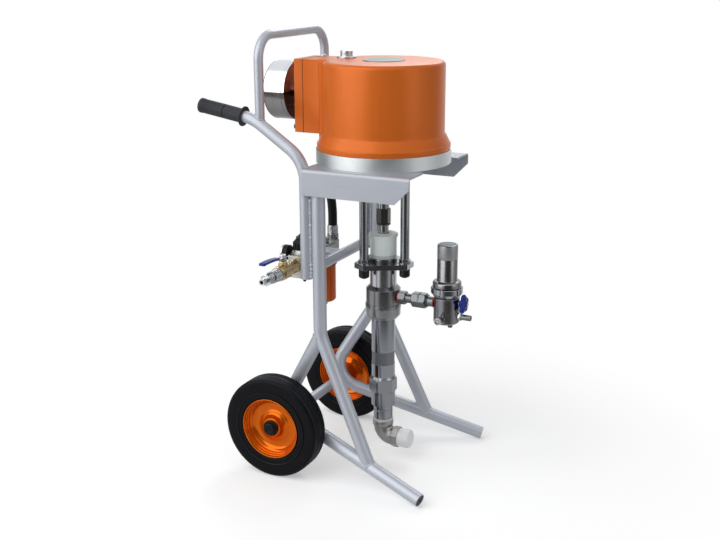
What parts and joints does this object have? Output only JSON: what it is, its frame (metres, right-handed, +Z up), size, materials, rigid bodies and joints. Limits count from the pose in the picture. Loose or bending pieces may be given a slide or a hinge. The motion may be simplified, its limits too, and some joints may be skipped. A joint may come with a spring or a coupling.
{
  "type": "airless paint sprayer",
  "caption": "Air-driven piston paint pump with filter and air regulator, hung under its round air motor on a two-wheeled tube cart with a lifting hoop and push handles.",
  "frame": {"origin": "on the floor, in the middle of the whole outline", "axes": "+Z up, +Y to the operator behind the cart, +X to the operator's left"},
  "size_m": [0.5108, 0.637, 1.0735],
  "materials": {
    "frame_paint": "gloss",
    "black_rubber": "matte",
    "tyre_rubber": "matte",
    "rim_paint": "gloss",
    "orange_paint": "gloss",
    "cast_aluminium": "satin",
    "bright_steel": "polished",
    "zinc_steel": "satin",
    "dark_steel": "satin",
    "white_plastic": "satin",
    "black_plastic": "matte",
    "brass_body": "satin",
    "blue_coating": "gloss",
    "red_paint": "matte",
    "orange_bowl": "gloss",
    "hose_rubber": "satin"
  },
  "bodies": {
    "cart": {"legs": "frame_paint", "right_skid": "frame_paint", "left_skid": "frame_paint", "handles": "frame_paint", "lifting_hoop": "frame_paint", "cross_tubes": "frame_paint", "skid_plugs": "black_rubber", "grips": "black_rubber", "motor_brackets": "frame_paint", "axle": "zinc_steel", "axle_caps": "black_plastic", "motor_base": "cast_aluminium", "motor_cover": "orange_paint", "motor_cylinder": "cast_aluminium", "valve_box": "orange_paint", "valve_box_plate": "orange_paint", "top_fittings": "bright_steel", "muffler": "bright_steel", "rod_seals": "black_plastic", "fasteners": "dark_steel", "tie_rods": "zinc_steel", "tie_plate": "zinc_steel", "wet_cup": "white_plastic", "wet_cup_lid": "white_plastic", "gland_body": "zinc_steel", "gland_nut": "dark_steel", "outlet_body": "zinc_steel", "union_nut": "zinc_steel", "pump_cylinder": "zinc_steel", "foot_valve_body": "zinc_steel", "suction_elbow": "zinc_steel", "suction_cap": "white_plastic", "outlet_fittings": "zinc_steel", "filter_body": "zinc_steel", "filter_ring_nut": "zinc_steel", "filter_tube": "zinc_steel", "filter_element": "bright_steel", "air_inlet_nipple": "bright_steel", "air_valve_body": "brass_body", "regulator_body": "cast_aluminium", "pressure_gauge": "black_plastic", "lubricator_head": "cast_aluminium", "lubricator_bowl": "orange_bowl", "air_hose": "hose_rubber", "hose_fittings": "bright_steel"},
    "right_wheel": {"right_tyre": "tyre_rubber", "right_rim": "rim_paint"},
    "left_wheel": {"left_tyre": "tyre_rubber", "left_rim": "rim_paint"},
    "plunger": {"air_piston": "cast_aluminium", "motor_rod": "zinc_steel", "coupling_nut": "dark_steel", "pump_rod": "zinc_steel"},
    "piston_valve": {"piston_ball": "bright_steel"},
    "foot_valve": {"foot_ball": "bright_steel"},
    "spool": {"valve_spool": "zinc_steel"},
    "air_valve": {"air_valve_lever": "blue_coating"},
    "bleed_valve": {"bleed_handle": "blue_coating"},
    "knob": {"regulator_knob": "black_plastic"},
    "needle": {"gauge_needle": "red_paint"}
  },
  "joints": [
    {"name": "right_wheel_spin", "type": "hinge", "parent": "cart", "child": "right_wheel", "pos_m": [-0.1769, 0.11098, 0.127], "axis": [1, 0, 0], "continuous": true},
    {"name": "left_wheel_spin", "type": "hinge", "parent": "cart", "child": "left_wheel", "pos_m": [0.2221, 0.11098, 0.127], "axis": [1, 0, 0], "continuous": true},
    {"name": "pump_stroke", "type": "slide", "parent": "cart", "child": "plunger", "axis": [0, 0, 1], "range_m": [0, 0.1]},
    {"name": "piston_valve_lift", "type": "slide", "parent": "plunger", "child": "piston_valve", "axis": [0, 0, 1], "range_m": [0, 0.005]},
    {"name": "foot_valve_lift", "type": "slide", "parent": "cart", "child": "foot_valve", "axis": [0, 0, 1], "range_m": [0, 0.006]},
    {"name": "spool_shift", "type": "slide", "parent": "cart", "child": "spool", "axis": [0, -1, 0], "range_m": [0, 0.01]},
    {"name": "air_valve_turn", "type": "hinge", "parent": "cart", "child": "air_valve", "pos_m": [-0.15664, 0.08998, 0.517], "axis": [0, 0, -1], "range_deg": [0, 90]},
    {"name": "bleed_valve_turn", "type": "hinge", "parent": "cart", "child": "bleed_valve", "pos_m": [0.0226, -0.29352, 0.43851], "axis": [0, -1, 0], "range_deg": [0, 90]},
    {"name": "regulator_turn", "type": "hinge", "parent": "cart", "child": "knob", "pos_m": [-0.0594, 0.08998, 0.5605], "axis": [0, 0, -1], "range_deg": [0, 1080]},
    {"name": "gauge_sweep", "type": "hinge", "parent": "cart", "child": "needle", "pos_m": [-0.0594, 0.13998, 0.536], "axis": [0, -1, 0], "range_deg": [0, 270]}
  ],
  "couplings": [
    {"joint": "gauge_sweep", "follows": "regulator_turn", "ratio": 0.25}
  ]
}
